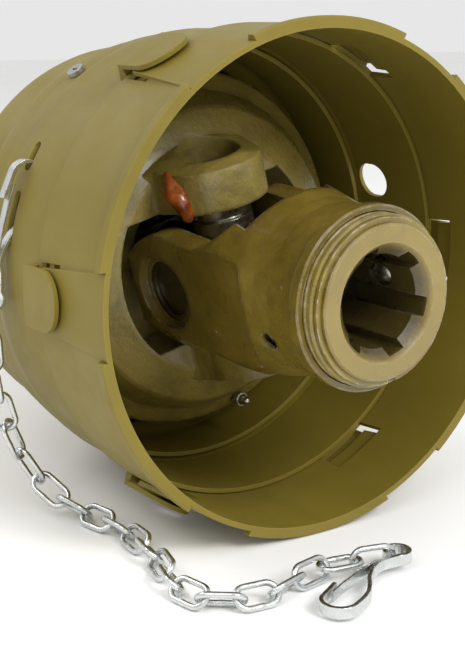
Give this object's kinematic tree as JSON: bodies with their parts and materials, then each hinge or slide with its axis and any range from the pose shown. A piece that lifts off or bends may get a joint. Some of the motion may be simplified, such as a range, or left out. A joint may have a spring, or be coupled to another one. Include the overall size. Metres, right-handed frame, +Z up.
{
  "type": "wide-angle pto drive shaft end with guard bell",
  "caption": "Splined quick-release yoke on a double-cardan wide-angle joint inside a plastic guard bell with a safety chain and spring hooks.",
  "frame": {"origin": "on the bore axis, in the plane of the three locking balls", "axes": "+Y along the shaft axis from the splined bore towards the tube, +Z up, +X to the right seen from the bore"},
  "size_m": [0.2261, 0.4867, 0.2154],
  "materials": {
    "olive_paint": "glossy olive enamel over rough casting",
    "bare_steel": "ground steel",
    "spring_steel": "spring wire",
    "seal_ring": "bright pressed ring",
    "dark_steel": "oiled bearing steel",
    "guard_plastic": "satin olive yellow moulding",
    "bearing_plastic": "natural nylon",
    "grey_screw": "zinc plated screw",
    "zinc_plate": "bright zinc plate"
  },
  "bodies": {
    "guard": {"guard_front_sleeve": "guard_plastic", "guard_middle_sleeve": "guard_plastic", "guard_base_cone": "guard_plastic", "guard_screws": "grey_screw", "guard_bearing_ring": "bearing_plastic", "guard_tube": "guard_plastic", "guard_hook": "zinc_plate", "chain_links": "zinc_plate", "end_hook": "zinc_plate"},
    "inner_shaft": {"inner_yoke": "olive_paint", "roll_pin": "bare_steel", "profile_tube": "bare_steel", "yoke_cups_rear": "dark_steel", "yoke_circlips_rear": "dark_steel", "rear_guide_bridge": "dark_steel", "rear_bridge_screws": "bare_steel"},
    "rear_cross": {"rear_cross": "bare_steel", "rear_cross_seals": "seal_ring", "cross_nipple_rear": "bare_steel", "needle_rollers_rear": "bare_steel"},
    "double_yoke": {"double_yoke": "olive_paint", "housing_grease_nipple": "bare_steel", "housing_cups_front": "dark_steel", "housing_circlips_front": "dark_steel", "housing_cups_rear": "dark_steel", "housing_circlips_rear": "dark_steel"},
    "front_cross": {"front_cross": "bare_steel", "front_cross_seals": "seal_ring", "cross_nipple_front": "bare_steel", "needle_rollers_front": "bare_steel"},
    "splined_yoke": {"splined_yoke": "olive_paint", "yoke_cups_front": "dark_steel", "yoke_circlips_front": "dark_steel", "front_guide_bridge": "dark_steel", "front_bridge_screws": "bare_steel", "collar_retaining_ring": "olive_paint", "collar_spring": "spring_steel"},
    "lock_collar": {"lock_collar": "olive_paint"},
    "ball_1": {"locking_ball_1": "bare_steel"},
    "ball_2": {"locking_ball_2": "bare_steel"},
    "ball_3": {"locking_ball_3": "bare_steel"},
    "guard_hook_tongue": {"guard_hook_tongue": "zinc_plate"},
    "end_hook_tongue": {"end_hook_tongue": "zinc_plate"}
  },
  "joints": [
    {"name": "shaft_spin", "type": "hinge", "parent": "guard", "child": "inner_shaft", "pos_m": [0, 0.2, 0], "axis": [0, 1, 0], "continuous": true},
    {"name": "rear_cross_tilt", "type": "hinge", "parent": "inner_shaft", "child": "rear_cross", "pos_m": [0, 0.176, 0], "axis": [0.9659, 0, 0.2588], "range_deg": [-7, 7]},
    {"name": "double_yoke_tilt", "type": "hinge", "parent": "rear_cross", "child": "double_yoke", "pos_m": [0, 0.176, 0], "axis": [-0.2588, 0, 0.9659], "range_deg": [-7, 7]},
    {"name": "front_cross_tilt", "type": "hinge", "parent": "double_yoke", "child": "front_cross", "pos_m": [0, 0.08, 0], "axis": [-0.2588, 0, 0.9659], "range_deg": [-7, 7]},
    {"name": "splined_yoke_tilt", "type": "hinge", "parent": "front_cross", "child": "splined_yoke", "pos_m": [0, 0.08, 0], "axis": [0.9659, 0, 0.2588], "range_deg": [-7, 7]},
    {"name": "collar_slide", "type": "slide", "parent": "splined_yoke", "child": "lock_collar", "axis": [0, 1, 0], "range_m": [0, 0.004], "stiffness_N_per_m": 2000, "springref_m": -0.004, "deforming": ["collar_spring"]},
    {"name": "ball_1_slide", "type": "slide", "parent": "splined_yoke", "child": "ball_1", "axis": [0.9455, 0, 0.3256], "range_m": [0, 0.00188]},
    {"name": "ball_2_slide", "type": "slide", "parent": "splined_yoke", "child": "ball_2", "axis": [-0.7547, 0, 0.6561], "range_m": [0, 0.00188]},
    {"name": "ball_3_slide", "type": "slide", "parent": "splined_yoke", "child": "ball_3", "axis": [-0.1908, 0, -0.9816], "range_m": [0, 0.00188]},
    {"name": "guard_hook_tongue_swing", "type": "hinge", "parent": "guard", "child": "guard_hook_tongue", "pos_m": [-0.1076, 0.0995, 0.00828], "axis": [0, 1, 0], "range_deg": [0, 5], "stiffness_Nm_per_rad": 0.05, "springref_deg": -2.86},
    {"name": "end_hook_tongue_swing", "type": "hinge", "parent": "guard", "child": "end_hook_tongue", "pos_m": [-0.0097, -0.03567, -0.1031], "axis": [0, 0, 1], "range_deg": [0, 7], "stiffness_Nm_per_rad": 0.05, "springref_deg": -2.86}
  ],
  "couplings": [
    {"joint": "front_cross_tilt", "follows": "double_yoke_tilt", "ratio": 1},
    {"joint": "splined_yoke_tilt", "follows": "rear_cross_tilt", "ratio": 1},
    {"joint": "ball_1_slide", "follows": "collar_slide", "ratio": 0.46},
    {"joint": "ball_2_slide", "follows": "collar_slide", "ratio": 0.46},
    {"joint": "ball_3_slide", "follows": "collar_slide", "ratio": 0.46}
  ]
}
